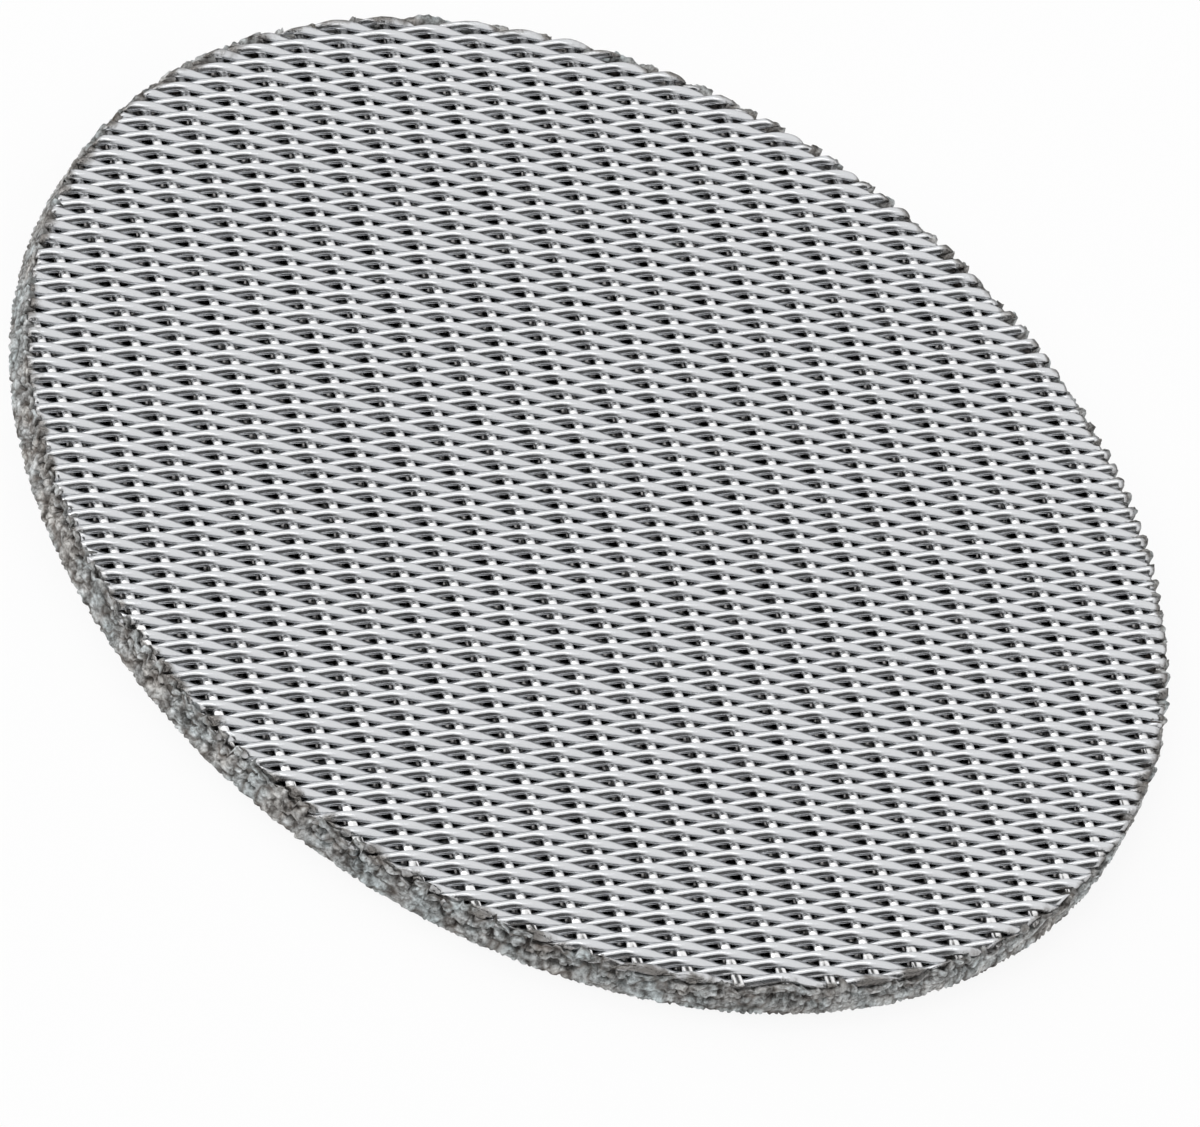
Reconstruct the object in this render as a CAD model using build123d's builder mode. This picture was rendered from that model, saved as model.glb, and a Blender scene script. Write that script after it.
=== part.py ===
from build123d import *
from math import atan2, ceil, cos, hypot, sin
import os

# Espresso puck screen: a round plate of sintered wire mesh that lies on the coffee puck in the
# filter basket. Its meshes are bonded to each other at every crossing, and the disc is cut from
# the finished sheet, so it is one solid. Sizes are in millimetres. The origin is the centre of the
# fine underside, +Z points out of the coarse woven face, and +X runs along its weft wires.

# The blank
disc_diameter = 51.0
disc_thickness = 1.7

# The woven face: thin weft wires lie close together and bend over and under thick straight warp
# wires. A weft wire crowns over every second warp wire, and its neighbours crown over the others.
warp_pitch = 2.146
weft_pitch = 0.386
crown_height = 0.4

# The crowns lie like bricks, one of them at the disc's centre, so the valleys between them run
# straight along the two slants of that brick pattern. Each slant is one corrugated sheet, a row of
# crowns at every ridge, and the face is what both sheets leave of the disc.
slant = atan2(weft_pitch, warp_pitch)
row_pitch = 2 * warp_pitch * weft_pitch / hypot(warp_pitch, weft_pitch)
valley_floor = disc_thickness - crown_height
disc_radius = disc_diameter / 2
outer_row = ceil(disc_radius / row_pitch)
half_width = (outer_row + 0.5) * row_pitch

with BuildPart() as puck_screen:
    Cylinder(disc_radius, disc_thickness, align=(Align.CENTER, Align.CENTER, Align.MIN))

    for turn in (slant, -slant):
        across_the_rows = Plane(
            origin=(0, 0, 0),
            x_dir=(-sin(turn), cos(turn), 0),
            z_dir=(cos(turn), sin(turn), 0),
        )
        with BuildSketch(across_the_rows):
            with BuildLine():
                corrugation = [(-half_width, valley_floor)]
                for row in range(-outer_row, outer_row + 1):
                    corrugation.append((row * row_pitch, disc_thickness))
                    corrugation.append(((row + 0.5) * row_pitch, valley_floor))
                Polyline(*corrugation)
                # The sheet's underside lies below the disc's, clear of it, so it cuts nothing there
                Polyline(corrugation[-1], (half_width, -disc_thickness),
                         (-half_width, -disc_thickness), corrugation[0])
            make_face()
        extrude(amount=disc_diameter, both=True, mode=Mode.INTERSECT)

puck_screen.part.label = "puck_screen"
os.makedirs("parts", exist_ok=True)
export_step(puck_screen.part, "parts/puck_screen.step")
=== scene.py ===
import bpy
import numpy as np
from math import radians
from mathutils import Matrix, Vector


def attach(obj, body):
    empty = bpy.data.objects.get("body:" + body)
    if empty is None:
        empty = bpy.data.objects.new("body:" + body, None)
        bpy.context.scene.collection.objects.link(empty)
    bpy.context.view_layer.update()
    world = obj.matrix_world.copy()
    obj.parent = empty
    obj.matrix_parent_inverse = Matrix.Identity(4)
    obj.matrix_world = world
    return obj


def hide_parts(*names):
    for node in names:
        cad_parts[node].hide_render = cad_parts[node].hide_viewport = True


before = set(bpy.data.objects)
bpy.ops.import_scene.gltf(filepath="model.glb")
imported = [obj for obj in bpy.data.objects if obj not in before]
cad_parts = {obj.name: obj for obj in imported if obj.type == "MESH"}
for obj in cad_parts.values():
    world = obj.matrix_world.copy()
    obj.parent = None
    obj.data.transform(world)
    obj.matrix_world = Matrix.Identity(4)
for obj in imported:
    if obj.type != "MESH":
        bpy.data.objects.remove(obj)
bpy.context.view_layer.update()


# Camera.
# A long lens about 58 cm from the plate, on its front left and 42 degrees above it.
# It is rolled, so that the plate seems to hang from upper left to lower right.
camera_place = Vector((-0.28636, -0.32224, 0.38850))
looks_at = Vector((-0.00158, -0.00392, 0.00170))
camera_roll = 32.80
lens_length = 427.8

photographer = bpy.data.cameras.new("camera")
photographer.sensor_width = 36.0
photographer.lens = lens_length
photographer.clip_start = 0.01
camera = bpy.data.objects.new("camera", photographer)
bpy.context.scene.collection.objects.link(camera)
towards_plate = (looks_at - camera_place).to_track_quat("-Z", "Y").to_matrix().to_4x4()
camera.matrix_world = (
    Matrix.Translation(camera_place) @ towards_plate @ Matrix.Rotation(radians(camera_roll), 4, "Z")
)
bpy.context.scene.camera = camera


# Weft wires of the coarse face.
# 64 stainless wires to the inch, crimped over and under the warp, each beside the next and half a wave on.
# The press flattens their crowns into one plane, and the cutter ends them at the plate's rim.
plate_radius = 25.5
plate_thickness = 1.7
warp_pitch = 2.146
weft_pitch = 0.3862
weave_start = (-0.06, -0.07)
weft_width = 0.46
weft_thickness = 0.40
weft_wave = 0.23
crimp_bend = 0.8
pressed_away = 0.06
press_sharpness = 100.0
shortest_half_wire = 0.35
crowding_on_top = 0.35
weft_straying = 0.006
crown_straying = 0.02
wave_straying = 0.02
height_straying = 0.004
weft_end_gap = (0.20, 0.36)


def mesh_piece(name, points, *face_arrays):
    """An object from points in millimetres and arrays of faces, where each array has its own number of
    corners. Four-cornered faces are shaded smooth, and caps with more corners flat."""
    corners = np.concatenate([faces.ravel() for faces in face_arrays])
    sizes = np.concatenate([np.full(len(faces), faces.shape[1]) for faces in face_arrays])
    mesh = bpy.data.meshes.new(name)
    mesh.vertices.add(len(points))
    mesh.vertices.foreach_set("co", (points * 0.001).ravel())
    mesh.loops.add(len(corners))
    mesh.loops.foreach_set("vertex_index", corners)
    mesh.polygons.add(len(sizes))
    mesh.polygons.foreach_set("loop_start", np.cumsum(sizes) - sizes)
    mesh.polygons.foreach_set("use_smooth", sizes == 4)
    mesh.update(calc_edges=True)
    piece = bpy.data.objects.new(name, mesh)
    bpy.context.scene.collection.objects.link(piece)
    return piece


def tube_faces(stations, around):
    """Faces of a closed tube, station by station with a ring of points at each, and its two end caps."""
    ring = np.arange(around)
    next_ring = (ring + 1) % around
    row = np.arange(stations - 1)[:, None] * around
    sides = np.stack([row + ring, row + around + ring, row + around + next_ring, row + next_ring], -1)
    last = (stations - 1) * around
    caps = np.stack([ring, last + ring[::-1]])
    return sides.reshape(-1, 4), caps


def crimp(phase):
    """Height of a crimped wire's centre line, from 1 on a crown to -1 under the next warp wire: the arcsine
    of a lowered cosine, which has straighter flanks and shorter bends than the cosine."""
    return np.arcsin(crimp_bend * np.cos(phase)) / np.arcsin(crimp_bend)


def crimped_wire(across, start, wave, centre_height, width, thickness, ends,
                 steps_per_pitch, around, press):
    """A crimped wire that runs along its first coordinate and lies at across in its second.
    It has a crown at start and the next two warp pitches on. Its section is an ellipse at right angles to
    its centre line, and press gives the plane that the crowns are pressed to, by a soft minimum. The rings
    are slanted at the ends, so that the wire ends on the rim's circle, and the points of a ring lie closer
    together on top, where the wire shows, by a sine."""
    turn = np.linspace(-np.pi, np.pi, around, endpoint=False)
    turn = np.pi / 2 + turn - crowding_on_top * np.sin(turn)
    side = across + width / 2 * np.cos(turn)
    half_chords = np.sqrt(np.maximum(np.array(ends)[:, None] ** 2 - side ** 2, shortest_half_wire ** 2))
    stations = max(4, int(np.ceil(half_chords.sum(0).mean() / warp_pitch * steps_per_pitch)) + 1)
    share = np.linspace(0, 1, stations)[:, None]
    along = (1 - share) * -half_chords[0] + share * half_chords[1]
    phase = np.pi * (along - start) / warp_pitch
    bend = crimp_bend / np.arcsin(crimp_bend) / np.sqrt(1 - (crimp_bend * np.cos(phase)) ** 2)
    slope = -wave * np.pi / warp_pitch * bend * np.sin(phase)
    tangent = 1 / np.sqrt(1 + slope ** 2)
    rise = thickness / 2 * np.sin(turn)
    lean = np.minimum(share, 1 - share) * (stations - 1)
    height = centre_height + wave * crimp(phase) + tangent * rise
    if press is not None:
        height = press - np.logaddexp(0, (press - height) * press_sharpness) / press_sharpness
    along = along - slope * tangent * rise * np.clip(lean, 0, 1)
    points = np.stack([along, np.broadcast_to(side, along.shape), height], -1).reshape(-1, 3)
    return points, tube_faces(stations, around)


def wire_piece(name, wires, quarter_turn=False):
    """One mesh of many wires. A quarter turn sets wires that were worked out along X along Y."""
    shifts = np.cumsum([0] + [len(points) for points, _ in wires])
    points = np.concatenate([points for points, _ in wires])
    if quarter_turn:
        points = np.stack([-points[:, 1], points[:, 0], points[:, 2]], -1)
    sides = np.concatenate([faces[0] + shift for (_, faces), shift in zip(wires, shifts)])
    caps = np.concatenate([faces[1] + shift for (_, faces), shift in zip(wires, shifts)])
    return mesh_piece(name, points, sides[:, ::-1], caps[:, ::-1])


heat_starts = 0.02565
heat_full = 0.02612
heat_share = 0.85
heat_wander = 0.0016
heat_brown = (0.14, 0.125, 0.11, 1.0)
edge_tint = (0.6, 0.6, 0.61, 1.0)


def steel_wire(name, colour, roughness, painted_shade_heights, painted_shade_level, grain):
    """Drawn and sintered steel. Its colour darkens below a height, as painted shade deep in the holes, and
    turns to the brown of the cutter's heat near the rim. Grain gives how much finer its lines are across
    the wire than along it."""
    material = bpy.data.materials.new(name)
    material.use_nodes = True
    nodes = material.node_tree.nodes
    links = material.node_tree.links
    shader = nodes["Principled BSDF"]
    shader.inputs["Metallic"].default_value = 1.0
    shader.inputs["Specular Tint"].default_value = edge_tint

    place = nodes.new("ShaderNodeTexCoord")
    split = nodes.new("ShaderNodeSeparateXYZ")
    links.new(place.outputs["Object"], split.inputs["Vector"])

    flat_place = nodes.new("ShaderNodeCombineXYZ")
    links.new(split.outputs["X"], flat_place.inputs["X"])
    links.new(split.outputs["Y"], flat_place.inputs["Y"])
    radius = nodes.new("ShaderNodeVectorMath")
    radius.operation = "LENGTH"
    links.new(flat_place.outputs["Vector"], radius.inputs[0])

    patches = nodes.new("ShaderNodeTexNoise")
    patches.inputs["Scale"].default_value = 900.0
    patches.inputs["Detail"].default_value = 3.0
    links.new(place.outputs["Object"], patches.inputs["Vector"])
    ragged_radius = nodes.new("ShaderNodeMath")
    ragged_radius.operation = "MULTIPLY_ADD"
    ragged_radius.inputs[1].default_value = heat_wander
    links.new(patches.outputs["Fac"], ragged_radius.inputs[0])
    links.new(radius.outputs["Value"], ragged_radius.inputs[2])
    heat = nodes.new("ShaderNodeMapRange")
    heat.interpolation_type = "SMOOTHSTEP"
    heat.inputs["From Min"].default_value = heat_starts
    heat.inputs["From Max"].default_value = heat_full
    heat.inputs["To Max"].default_value = heat_share
    links.new(ragged_radius.outputs["Value"], heat.inputs["Value"])

    tint = nodes.new("ShaderNodeMix")
    tint.data_type = "RGBA"
    tint.inputs["A"].default_value = (*colour, 1.0)
    tint.inputs["B"].default_value = heat_brown
    links.new(heat.outputs["Result"], tint.inputs["Factor"])

    # Painted shade: below a height, deep in the holes, the colour is multiplied down towards a darker
    # level.
    depth = nodes.new("ShaderNodeMapRange")
    depth.interpolation_type = "SMOOTHSTEP"
    depth.inputs["From Min"].default_value = painted_shade_heights[0]
    depth.inputs["From Max"].default_value = painted_shade_heights[1]
    depth.inputs["To Min"].default_value = painted_shade_level
    depth.inputs["To Max"].default_value = 1.0
    links.new(split.outputs["Z"], depth.inputs["Value"])
    with_painted_shade = nodes.new("ShaderNodeMix")
    with_painted_shade.data_type = "RGBA"
    with_painted_shade.blend_type = "MULTIPLY"
    with_painted_shade.inputs["Factor"].default_value = 1.0
    links.new(tint.outputs["Result"], with_painted_shade.inputs["A"])
    links.new(depth.outputs["Result"], with_painted_shade.inputs["B"])
    links.new(with_painted_shade.outputs["Result"], shader.inputs["Base Color"])

    stretch = nodes.new("ShaderNodeMapping")
    stretch.inputs["Scale"].default_value = grain
    links.new(place.outputs["Object"], stretch.inputs["Vector"])
    lines = nodes.new("ShaderNodeTexNoise")
    lines.inputs["Scale"].default_value = 1.0
    lines.inputs["Detail"].default_value = 4.0
    links.new(stretch.outputs["Vector"], lines.inputs["Vector"])
    sheen = nodes.new("ShaderNodeMapRange")
    sheen.inputs["From Min"].default_value = 0.3
    sheen.inputs["From Max"].default_value = 0.7
    sheen.inputs["To Min"].default_value = roughness - 0.04
    sheen.inputs["To Max"].default_value = roughness + 0.06
    links.new(lines.outputs["Fac"], sheen.inputs["Value"])
    links.new(sheen.outputs["Result"], shader.inputs["Roughness"])
    relief = nodes.new("ShaderNodeBump")
    relief.inputs["Strength"].default_value = 0.25
    relief.inputs["Distance"].default_value = 0.00001
    links.new(lines.outputs["Fac"], relief.inputs["Height"])
    scale = nodes.new("ShaderNodeTexNoise")
    scale.inputs["Scale"].default_value = 6000.0
    scale.inputs["Detail"].default_value = 3.0
    links.new(place.outputs["Object"], scale.inputs["Vector"])
    scale_relief = nodes.new("ShaderNodeBump")
    scale_relief.inputs["Distance"].default_value = 0.00012
    links.new(heat.outputs["Result"], scale_relief.inputs["Strength"])
    links.new(scale.outputs["Fac"], scale_relief.inputs["Height"])
    links.new(relief.outputs["Normal"], scale_relief.inputs["Normal"])
    links.new(scale_relief.outputs["Normal"], shader.inputs["Normal"])
    return material


chance = np.random.default_rng(12)
outermost_weft = int((plate_radius - weft_width) / weft_pitch)
weft_numbers = np.arange(-outermost_weft, outermost_weft + 2)
weft_centre_height = plate_thickness + pressed_away - weft_thickness / 2 - weft_wave
face_wefts = []
for number in weft_numbers:
    face_wefts.append(crimped_wire(
        across=weave_start[1] + number * weft_pitch + chance.normal(0, weft_straying),
        start=weave_start[0] + number % 2 * warp_pitch + chance.normal(0, crown_straying),
        wave=weft_wave * (1 + chance.normal(0, wave_straying)),
        centre_height=weft_centre_height + chance.normal(0, height_straying),
        width=weft_width,
        thickness=weft_thickness,
        ends=plate_radius - chance.uniform(*weft_end_gap, 2),
        steps_per_pitch=10,
        around=12,
        press=plate_thickness,
    ))

bright_wire = steel_wire(
    "bright_wire",
    colour=(0.68, 0.69, 0.705),
    roughness=0.22,
    painted_shade_heights=(0.00085, 0.00115),
    painted_shade_level=0.7,
    grain=(300.0, 6000.0, 6000.0),
)
quarter = len(face_wefts) // 4
shares = {
    "face_weft_front": face_wefts[:quarter],
    "face_weft_near_middle": face_wefts[quarter:2 * quarter],
    "face_weft_far_middle": face_wefts[2 * quarter:3 * quarter],
    "face_weft_back": face_wefts[3 * quarter:],
}
for name, wires in shares.items():
    wefts = wire_piece(name, wires)
    wefts.data.materials.append(bright_wire)
    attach(wefts, "root")
    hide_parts("puck_screen")


# Warp wires of the coarse face.
# 12 straight stainless wires to the inch, which the weft is woven round.
# They show only as a bright dot between two crowns and as cut ends at the rim.
# Their steel is given a lighter colour than the weft's, as a painted highlight.
warp_width = 0.46
warp_thickness = 0.26
warp_height = 1.38
warp_aside = 0.09
warp_straying = 0.01
warp_end_gap = (0.20, 0.40)
outermost_warp = int((plate_radius - warp_width) / warp_pitch)
face_warps = []
for number in np.arange(-outermost_warp, outermost_warp + 1):
    face_warps.append(crimped_wire(
        across=-weave_start[0] - warp_aside - number * warp_pitch + chance.normal(0, warp_straying),
        start=0.0,
        wave=0.0,
        centre_height=warp_height,
        width=warp_width,
        thickness=warp_thickness,
        ends=plate_radius - chance.uniform(*warp_end_gap, 2),
        steps_per_pitch=1,
        around=16,
        press=None,
    ))
warps = wire_piece("face_warp", face_warps, quarter_turn=True)
# Painted highlight: the same steel as the weft, in a lighter colour.
painted_highlight_wire = steel_wire(
    "painted_highlight_wire",
    colour=(0.90, 0.90, 0.90),
    roughness=0.22,
    painted_shade_heights=(0.00085, 0.00115),
    painted_shade_level=0.7,
    grain=(6000.0, 300.0, 6000.0),
)
warps.data.materials.append(painted_highlight_wire)
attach(warps, "root")
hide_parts("puck_screen")


# Second coarse mesh.
# The same weave a quarter turn round, bonded under the face to stiffen the plate.
# It shows dimly at the bottom of the holes. Its steel is given a darker colour than the face's, as painted
# shade.
second_top = 1.16
under_first = 0.11
under_start = 0.6
under_wave = 0.17
under_width = 0.40
under_thickness = 0.34
under_straying = 0.01
under_end_gap = (0.25, 0.45)
under_wires = []
for number in weft_numbers[:-1]:
    under_wires.append(crimped_wire(
        across=under_first + number * weft_pitch + chance.normal(0, under_straying),
        start=under_start + number % 2 * warp_pitch,
        wave=under_wave,
        centre_height=second_top - under_thickness + chance.normal(0, under_straying),
        width=under_width,
        thickness=under_thickness,
        ends=plate_radius - chance.uniform(*under_end_gap, 2),
        steps_per_pitch=5,
        around=6,
        press=None,
    ))
under_mesh = wire_piece("second_mesh", under_wires, quarter_turn=True)
# Painted shade: the same steel as the face, in a darker colour.
painted_shade_wire = steel_wire(
    "painted_shade_wire",
    colour=(0.46, 0.45, 0.44),
    roughness=0.34,
    painted_shade_heights=(0.0008, 0.0012),
    painted_shade_level=0.6,
    grain=(6000.0, 300.0, 6000.0),
)
under_mesh.data.materials.append(painted_shade_wire)
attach(under_mesh, "root")
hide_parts("puck_screen")


# Cut rim.
# The cutter goes through all five meshes, and its heat runs their wire ends into one rough grey skin.
# Pockets stay open between the ends of the coarse wires, and the fine meshes below end in small grains.
rim_columns = 2400
rim_rows = 26
weft_cover = 0.16
ragged_top = 0.16
ragged_foot = 0.10
least_depth = 0.02
pocket_depth = 0.42
lump_depth = 0.10
grain_depth = 0.035
streak_depth = 0.03
crease_depth = 0.12
tooth_depth = 0.13
lip_depth = 0.22
lip_drop = 0.10
foot_inner_radius = 24.2
foot_inner_height = 0.02
lip_inner_radius = 24.6
lip_inner_height = 1.0


def rim_noise(cells_round, cells_up, rows):
    """Smooth noise round the rim: random values on a coarse grid that closes on itself, blended between
    their neighbours with an s-shaped weight, from 0 to 1."""
    values = chance.random((cells_round, cells_up + 1))
    turn = np.arange(rim_columns)[:, None] / rim_columns * cells_round
    climb = np.linspace(0, cells_up, rows, endpoint=False)[None, :]
    a = turn.astype(int)
    b = climb.astype(int)
    u = turn - a
    v = climb - b
    u = u * u * (3 - 2 * u)
    v = v * v * (3 - 2 * v)
    c = (a + 1) % cells_round
    low = values[a, b] * (1 - u) + values[c, b] * u
    high = values[a, b + 1] * (1 - u) + values[c, b + 1] * u
    return low * (1 - v) + high * v


def distance_to_wire(across, along, first, start, centre, wave, width, thickness, height):
    """How far a point of the rim is from the section of the nearest crimped wire: its two distances over
    the wire's half width and half thickness, squared and added, so that it is 1 on the wire's surface."""
    number = np.rint((across - first) / weft_pitch)
    middle = centre + wave * crimp(np.pi * (along - start - number % 2 * warp_pitch) / warp_pitch)
    sideways = (across - first - number * weft_pitch) / (width / 2)
    return sideways ** 2 + ((height - middle) / (thickness / 2)) ** 2, middle


# The skin climbs from ragged teeth at the foot to just above the weft wire that ends there, less a ragged
# edge, and never over the plate's top.
rim_angle = np.linspace(0, 2 * np.pi, rim_columns, endpoint=False)[:, None]
rim_x = plate_radius * np.cos(rim_angle)
rim_y = plate_radius * np.sin(rim_angle)
nearest_weft = distance_to_wire(rim_y, rim_x, weave_start[1], weave_start[0], weft_centre_height, weft_wave,
                                weft_width, weft_thickness, 0.0)[1]
upper_edge = np.minimum(nearest_weft + weft_cover, plate_thickness) - ragged_top * rim_noise(700, 1, 1) ** 2
lower_edge = ragged_foot * rim_noise(1300, 1, 1) ** 2
climb = np.linspace(0, 1, rim_rows)[None, :]
skin_height = lower_edge + (upper_edge - lower_edge) * climb

# It is solid close to a wire's section and where metal has run between the wires. The rest of the part
# above the fine meshes is open pockets.
to_weft = distance_to_wire(rim_y, rim_x, weave_start[1], weave_start[0], weft_centre_height, weft_wave,
                           weft_width, weft_thickness, skin_height)[0]
to_under = distance_to_wire(-rim_x, rim_y, under_first, under_start, second_top - under_thickness,
                            under_wave, under_width, under_thickness, skin_height)[0]
to_warp_x = (rim_x - weave_start[0] - warp_aside + warp_pitch / 2) % warp_pitch - warp_pitch / 2
to_warp = (to_warp_x / (warp_width / 2)) ** 2 + ((skin_height - warp_height) / (warp_thickness / 2)) ** 2
solid = np.clip((1.5 - np.minimum(np.minimum(to_weft, to_under), to_warp)) / 0.8, 0, 1)
run_metal = rim_noise(260, 4, rim_rows) * 0.6 + rim_noise(640, 8, rim_rows) * 0.4
run_metal = np.clip((run_metal - 0.36 - 0.12 * np.clip((skin_height - 0.7) / 0.4, 0, 1)) / 0.12, 0, 1)
coarse_zone = np.clip((skin_height - 0.42) / 0.15, 0, 1)
pockets = (1 - np.maximum(solid, run_metal)) * coarse_zone

# Its depth inside the plate's radius is a sum of pockets, lumps, grains, streaks and narrow creases, each
# from noise of its own. The sum fades towards the foot, where the teeth stand instead.
lumps = rim_noise(300, 5, rim_rows)
grains = rim_noise(1100, 14, rim_rows)
streaks = rim_noise(1000, 2, rim_rows)
creases = (1 - np.abs(2 * rim_noise(250, 4, rim_rows) - 1)) ** 3
creases = np.maximum(creases, 0.8 * (1 - np.abs(2 * rim_noise(640, 7, rim_rows) - 1)) ** 4)
teeth = np.clip(1 - climb * 6, 0, 1) * rim_noise(1500, 1, 1) ** 2
skin_depth = least_depth + pocket_depth * pockets + lump_depth * lumps + grain_depth * grains
skin_depth = skin_depth + streak_depth * streaks + crease_depth * creases
skin_depth = skin_depth * (1 - 0.75 * np.clip(1 - climb * 4, 0, 1)) + tooth_depth * teeth
skin_radius = plate_radius - skin_depth

# The section is closed: in at the foot, up the skin, over a lip and down behind it.
ring = np.ones_like(rim_angle)
skin_radius = np.concatenate([
    foot_inner_radius * ring,
    skin_radius,
    skin_radius[:, -1:] - lip_depth,
    lip_inner_radius * ring,
], 1)
skin_height = np.concatenate([
    foot_inner_height * ring,
    skin_height,
    skin_height[:, -1:] - lip_drop,
    lip_inner_height * ring,
], 1)
openness = np.concatenate([
    ring,
    1 - np.maximum(pockets, 0.95 * creases),
    0.4 * ring,
    0 * ring,
], 1)
rim_points = np.stack([skin_radius * np.cos(rim_angle), skin_radius * np.sin(rim_angle), skin_height], -1)
section = rim_rows + 3
column = np.arange(rim_columns)[:, None] * section
following = (column + section) % (rim_columns * section)
step = np.arange(section)[None, :]
next_step = (step + 1) % section
rim_faces = np.stack([column + step, following + step, following + next_step, column + next_step], -1)
rim = mesh_piece("cut_rim", rim_points.reshape(-1, 3), rim_faces.reshape(-1, 4))
pocket_shade = rim.data.attributes.new("open_to_light", "FLOAT", "POINT")
pocket_shade.data.foreach_set("value", openness.ravel().astype(np.float32))

cut_steel = bpy.data.materials.new("cut_steel")
cut_steel.use_nodes = True
nodes = cut_steel.node_tree.nodes
links = cut_steel.node_tree.links
shader = nodes["Principled BSDF"]
shader.inputs["Metallic"].default_value = 0.7
place = nodes.new("ShaderNodeTexCoord")
mottle = nodes.new("ShaderNodeTexNoise")
mottle.inputs["Scale"].default_value = 2500.0
mottle.inputs["Detail"].default_value = 6.0
mottle.inputs["Roughness"].default_value = 0.72
links.new(place.outputs["Object"], mottle.inputs["Vector"])
greys = nodes.new("ShaderNodeValToRGB")
greys.color_ramp.elements[0].position = 0.37
greys.color_ramp.elements[0].color = (0.13, 0.125, 0.12, 1)
greys.color_ramp.elements[1].position = 0.61
greys.color_ramp.elements[1].color = (0.74, 0.76, 0.77, 1)
middle = greys.color_ramp.elements.new(0.48)
middle.color = (0.39, 0.395, 0.395, 1)
links.new(mottle.outputs["Fac"], greys.inputs["Fac"])
stains = nodes.new("ShaderNodeTexNoise")
stains.inputs["Scale"].default_value = 650.0
stains.inputs["Detail"].default_value = 2.0
links.new(place.outputs["Object"], stains.inputs["Vector"])
tempering = nodes.new("ShaderNodeValToRGB")
tempering.color_ramp.elements[0].position = 0.34
tempering.color_ramp.elements[0].color = (0.93, 0.89, 0.85, 1)
tempering.color_ramp.elements[1].position = 0.66
tempering.color_ramp.elements[1].color = (0.93, 0.99, 1.00, 1)
plain_zone = tempering.color_ramp.elements.new(0.47)
plain_zone.color = (0.99, 0.99, 0.98, 1)
links.new(stains.outputs["Fac"], tempering.inputs["Fac"])
stained = nodes.new("ShaderNodeMix")
stained.data_type = "RGBA"
stained.blend_type = "MULTIPLY"
stained.inputs["Factor"].default_value = 1.0
links.new(greys.outputs["Color"], stained.inputs["A"])
links.new(tempering.outputs["Color"], stained.inputs["B"])
pocket_light = nodes.new("ShaderNodeAttribute")
pocket_light.attribute_name = "open_to_light"
pocket_dark = nodes.new("ShaderNodeValToRGB")
pocket_dark.color_ramp.elements[0].position = 0.0
pocket_dark.color_ramp.elements[0].color = (0.18, 0.14, 0.115, 1)
pocket_dark.color_ramp.elements[1].position = 0.80
pocket_dark.color_ramp.elements[1].color = (1, 1, 1, 1)
links.new(pocket_light.outputs["Fac"], pocket_dark.inputs["Fac"])
shaded = nodes.new("ShaderNodeMix")
shaded.data_type = "RGBA"
shaded.blend_type = "MULTIPLY"
shaded.inputs["Factor"].default_value = 1.0
links.new(stained.outputs["Result"], shaded.inputs["A"])
links.new(pocket_dark.outputs["Color"], shaded.inputs["B"])
links.new(shaded.outputs["Result"], shader.inputs["Base Color"])
matt = nodes.new("ShaderNodeMapRange")
matt.inputs["To Min"].default_value = 0.6
matt.inputs["To Max"].default_value = 0.36
links.new(mottle.outputs["Fac"], matt.inputs["Value"])
links.new(matt.outputs["Result"], shader.inputs["Roughness"])
scale_relief = nodes.new("ShaderNodeBump")
scale_relief.inputs["Strength"].default_value = 0.7
scale_relief.inputs["Distance"].default_value = 0.00008
links.new(mottle.outputs["Fac"], scale_relief.inputs["Height"])
links.new(scale_relief.outputs["Normal"], shader.inputs["Normal"])
rim.data.materials.append(cut_steel)
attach(rim, "root")
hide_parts("puck_screen")


# Fine mesh on the underside.
# A plain weave of 100 wires to the inch each way, pressed flat, which guards the filtering mesh above it.
# Its wires are 0.1 mm thick, too many and too fine for a mesh of their own, so they are relief and colour.
fine_pitch = 0.254
disc_turns = 240
wire_edge = 0.62
wire_top = 0.98
mean_lift = 0.65
over_and_under = 0.35
disc_rings = np.array([24.0, 25.0, 25.18, 25.24])
disc_heights = np.array([0.0, 0.0, 0.01, 0.06])

# Rings of points from a flat middle out to a rounded edge, closed by one face below and one above.
disc_angle = np.linspace(0, 2 * np.pi, disc_turns, endpoint=False)[:, None]
ring_points = np.stack([
    disc_rings * np.cos(disc_angle),
    disc_rings * np.sin(disc_angle),
    disc_heights + 0 * disc_angle,
], -1).reshape(-1, 3)
disc_step = np.arange(len(disc_rings) - 1)[None, :]
disc_column = np.arange(disc_turns)[:, None] * len(disc_rings)
disc_following = (disc_column + len(disc_rings)) % (disc_turns * len(disc_rings))
ring_faces = np.stack([
    disc_column + disc_step,
    disc_following + disc_step,
    disc_following + disc_step + 1,
    disc_column + disc_step + 1,
], -1).reshape(-1, 4)
middle_face = disc_column.reshape(1, -1)[:, ::-1]
back_face = (disc_column + len(disc_rings) - 1).reshape(1, -1)
underside = mesh_piece("fine_underside", ring_points, ring_faces, middle_face, back_face)

fine_wire = bpy.data.materials.new("fine_wire")
fine_wire.use_nodes = True
nodes = fine_wire.node_tree.nodes
links = fine_wire.node_tree.links
shader = nodes["Principled BSDF"]
shader.inputs["Metallic"].default_value = 1.0
shader.inputs["Roughness"].default_value = 0.34


def fine_sum(operation, first, second):
    """One arithmetic step between two node outputs or numbers."""
    node = nodes.new("ShaderNodeMath")
    node.operation = operation
    for socket, value in zip(node.inputs, (first, second)):
        if isinstance(value, float):
            socket.default_value = value
        else:
            links.new(value, socket)
    return node.outputs["Value"]


place = nodes.new("ShaderNodeTexCoord")
split = nodes.new("ShaderNodeSeparateXYZ")
links.new(place.outputs["Object"], split.inputs["Vector"])

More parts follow.
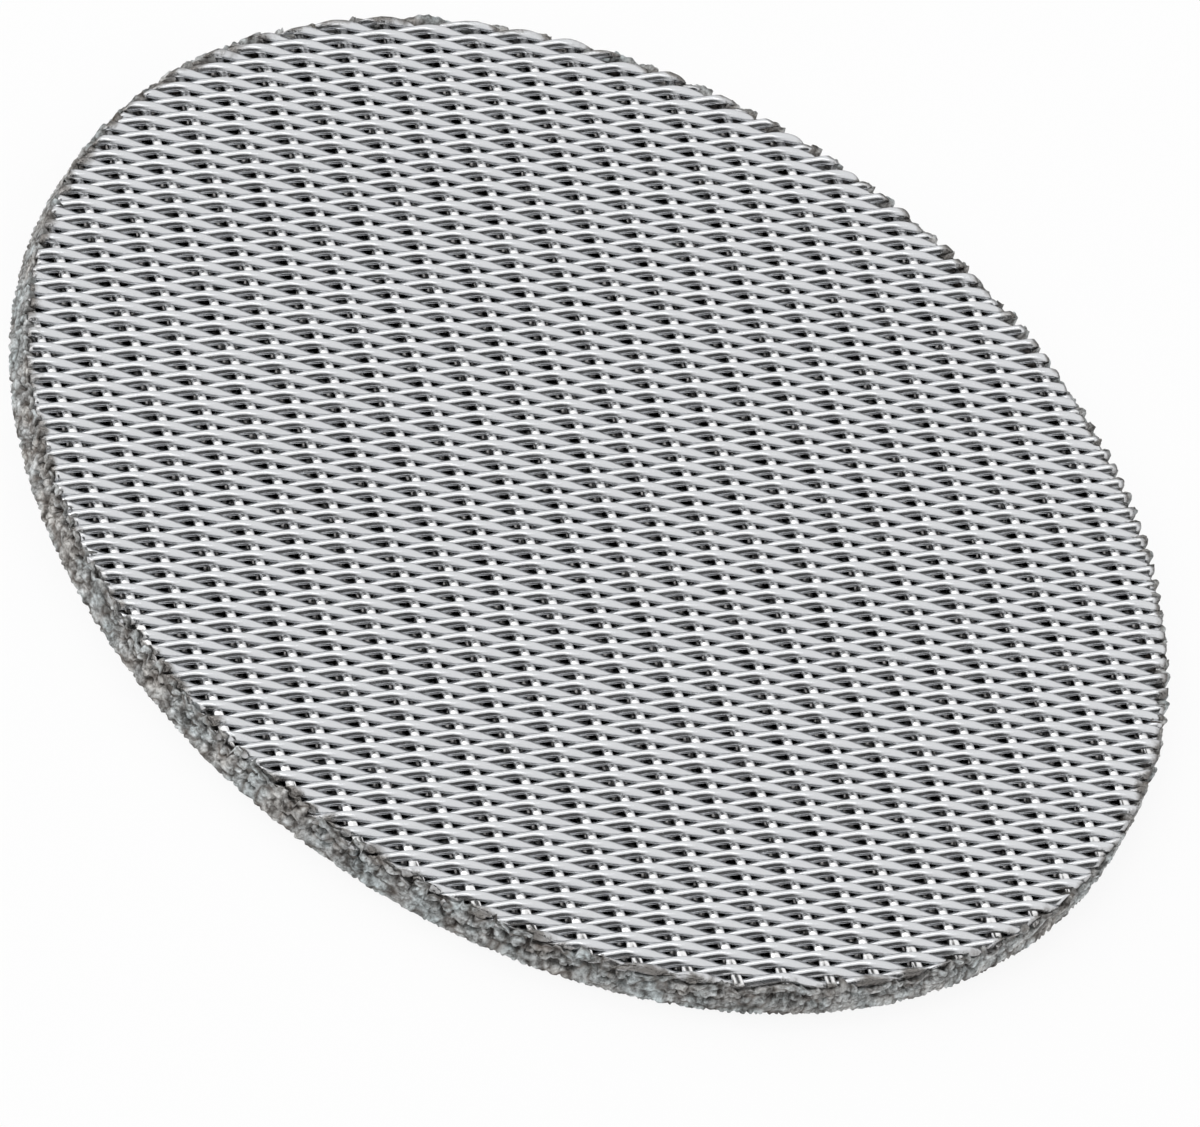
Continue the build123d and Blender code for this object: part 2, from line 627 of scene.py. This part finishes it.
# Each wire is a band round a crest of the cosine across it, and it lies over or under the crossing wires
# with the sign of that cosine times the one along it. The higher of the two wires is the one that shows.
turns = [fine_sum("MULTIPLY", split.outputs[axis], np.pi / fine_pitch * 1000) for axis in "XY"]
waves = [fine_sum("COSINE", turn, 0.0) for turn in turns]
signs = [fine_sum("SIGN", wave, 0.0) for wave in waves]
wire_tops = [fine_sum("ABSOLUTE", wave, 0.0) for wave in waves]
crossing = [fine_sum("MULTIPLY", signs[0], waves[1]), fine_sum("MULTIPLY", signs[1], waves[0])]
heights = []
for top, over, way in zip(wire_tops, crossing, (over_and_under, -over_and_under)):
    profile = nodes.new("ShaderNodeMapRange")
    profile.interpolation_type = "SMOOTHSTEP"
    profile.inputs["From Min"].default_value = wire_edge
    profile.inputs["From Max"].default_value = wire_top
    profile.inputs["To Max"].default_value = 1.0
    links.new(top, profile.inputs["Value"])
    lifted = fine_sum("MULTIPLY", over, way)
    lifted = fine_sum("ADD", lifted, mean_lift)
    heights.append(fine_sum("MULTIPLY", profile.outputs["Result"], lifted))
weave_height = fine_sum("MAXIMUM", heights[0], heights[1])
# Painted shade: the colour goes near black in the gaps between the wires, and darkens towards each wire's
# sides and where it dips under the crossing one.
painted_weave_shade = nodes.new("ShaderNodeValToRGB")
painted_weave_shade.color_ramp.elements[0].position = 0.05
painted_weave_shade.color_ramp.elements[0].color = (0.03, 0.03, 0.03, 1)
painted_weave_shade.color_ramp.elements[1].position = 0.45
painted_weave_shade.color_ramp.elements[1].color = (0.62, 0.62, 0.61, 1)
links.new(weave_height, painted_weave_shade.inputs["Fac"])
links.new(painted_weave_shade.outputs["Color"], shader.inputs["Base Color"])
weave_relief = nodes.new("ShaderNodeBump")
weave_relief.inputs["Strength"].default_value = 0.8
weave_relief.inputs["Distance"].default_value = 0.00005
links.new(weave_height, weave_relief.inputs["Height"])
links.new(weave_relief.outputs["Normal"], shader.inputs["Normal"])
underside.data.materials.append(fine_wire)
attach(underside, "root")
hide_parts("puck_screen")


# Studio.
# A pale floor under a white surround, a tall soft lamp on the left and a wide low one at the back.
# A black cloth strip arches from the floor in front over the plate, and its reflection draws the dark
# line on each wire.
surround = bpy.data.worlds.new("white_surround")
surround.use_nodes = True
surround.node_tree.nodes["Background"].inputs["Color"].default_value = (1, 1, 1, 1)
surround.node_tree.nodes["Background"].inputs["Strength"].default_value = 1.0
bpy.context.scene.world = surround

floor_level = -0.00002
floor_reach = 3.0
paper_whiteness = 0.88
floor_mesh = bpy.data.meshes.new("floor")
floor_corners = [
    (-floor_reach, -floor_reach, floor_level),
    (floor_reach, -floor_reach, floor_level),
    (floor_reach, floor_reach, floor_level),
    (-floor_reach, floor_reach, floor_level),
]
floor_mesh.from_pydata(floor_corners, [], [(0, 1, 2, 3)])
floor = bpy.data.objects.new("floor", floor_mesh)
bpy.context.scene.collection.objects.link(floor)
pale_paper = bpy.data.materials.new("pale_paper")
pale_paper.use_nodes = True
nodes = pale_paper.node_tree.nodes
links = pale_paper.node_tree.links
nodes["Principled BSDF"].inputs["Base Color"].default_value = (0.9, 0.9, 0.9, 1)
nodes["Principled BSDF"].inputs["Roughness"].default_value = 1.0
paper_white = nodes.new("ShaderNodeEmission")
paper_white.inputs["Color"].default_value = (1, 1, 1, 1)
ray = nodes.new("ShaderNodeLightPath")
seen = nodes.new("ShaderNodeMath")
seen.operation = "MAXIMUM"
links.new(ray.outputs["Is Camera Ray"], seen.inputs[0])
links.new(ray.outputs["Is Glossy Ray"], seen.inputs[1])
seen_or_through = nodes.new("ShaderNodeMath")
seen_or_through.operation = "MAXIMUM"
links.new(seen.outputs["Value"], seen_or_through.inputs[0])
links.new(ray.outputs["Is Transmission Ray"], seen_or_through.inputs[1])
whiteness = nodes.new("ShaderNodeMath")
whiteness.operation = "MULTIPLY"
whiteness.inputs[1].default_value = paper_whiteness
links.new(seen_or_through.outputs["Value"], whiteness.inputs[0])
paper = nodes.new("ShaderNodeMixShader")
links.new(whiteness.outputs["Value"], paper.inputs["Fac"])
links.new(nodes["Principled BSDF"].outputs["BSDF"], paper.inputs[1])
links.new(paper_white.outputs["Emission"], paper.inputs[2])
open_below = nodes.new("ShaderNodeMixShader")
seen_side = nodes.new("ShaderNodeNewGeometry")
links.new(seen_side.outputs["Backfacing"], open_below.inputs["Fac"])
links.new(paper.outputs["Shader"], open_below.inputs[1])
links.new(nodes.new("ShaderNodeBsdfTransparent").outputs["BSDF"], open_below.inputs[2])
links.new(open_below.outputs["Shader"], nodes["Material Output"].inputs["Surface"])
floor_mesh.materials.append(pale_paper)

# The strip is part of a ball's surface: it turns up from the floor in front, leans, and widens on its way.
strip_front = Vector((0.321, -0.947, 0.0))
strip_side = Vector((0.947, 0.321, 0.0))
strip_rows = 33
strip_columns = 9
strip_distance = 1.6
strip_turn = np.radians(np.linspace(1, 80, strip_rows))[:, None]
strip_half_width = np.radians(8) + 0.235 * strip_turn
strip_lean = -0.105 * strip_turn
strip_across = strip_lean + strip_half_width * np.linspace(-1, 1, strip_columns)[None, :]
strip_points = strip_distance * (
    (np.cos(strip_across) * np.cos(strip_turn))[..., None] * np.array(strip_front)
    + (np.cos(strip_across) * np.sin(strip_turn))[..., None] * np.array((0.0, 0.0, 1.0))
    + np.sin(strip_across)[..., None] * np.array(strip_side)
)
strip_row = np.arange(strip_rows - 1)[:, None] * strip_columns
strip_step = np.arange(strip_columns - 1)[None, :]
strip_faces = np.stack([
    strip_row + strip_step,
    strip_row + strip_step + 1,
    strip_row + strip_step + strip_columns + 1,
    strip_row + strip_step + strip_columns,
], -1).reshape(-1, 4)
strip_mesh = bpy.data.meshes.new("black_strip")
strip_mesh.from_pydata(strip_points.reshape(-1, 3).tolist(), [], strip_faces.tolist())
black_strip = bpy.data.objects.new("black_strip", strip_mesh)
bpy.context.scene.collection.objects.link(black_strip)
black_strip.visible_camera = False
black_cloth = bpy.data.materials.new("black_cloth")
black_cloth.use_nodes = True
black_cloth.node_tree.nodes["Principled BSDF"].inputs["Base Color"].default_value = (0.05, 0.05, 0.05, 1)
black_cloth.node_tree.nodes["Principled BSDF"].inputs["Roughness"].default_value = 1.0
strip_mesh.materials.append(black_cloth)

for name, place, width, length, power in (
    ("left_lamp", (-0.770, 0.280, 0.574), 0.40, 1.36, 2.5),
    ("back_lamp", (0.065, 0.465, 0.883), 0.90, 0.16, 0.68),
):
    soft_lamp = bpy.data.lights.new(name, "AREA")
    soft_lamp.shape = "RECTANGLE"
    soft_lamp.size = width
    soft_lamp.size_y = length
    soft_lamp.energy = power
    lamp = bpy.data.objects.new(name, soft_lamp)
    bpy.context.scene.collection.objects.link(lamp)
    lamp.visible_camera = False
    lamp_place = Vector(place)
    towards_plate = (-lamp_place).to_track_quat("-Z", "Y").to_matrix().to_4x4()
    lamp.matrix_world = Matrix.Translation(lamp_place) @ towards_plate

bpy.context.scene.view_settings.view_transform = "Standard"
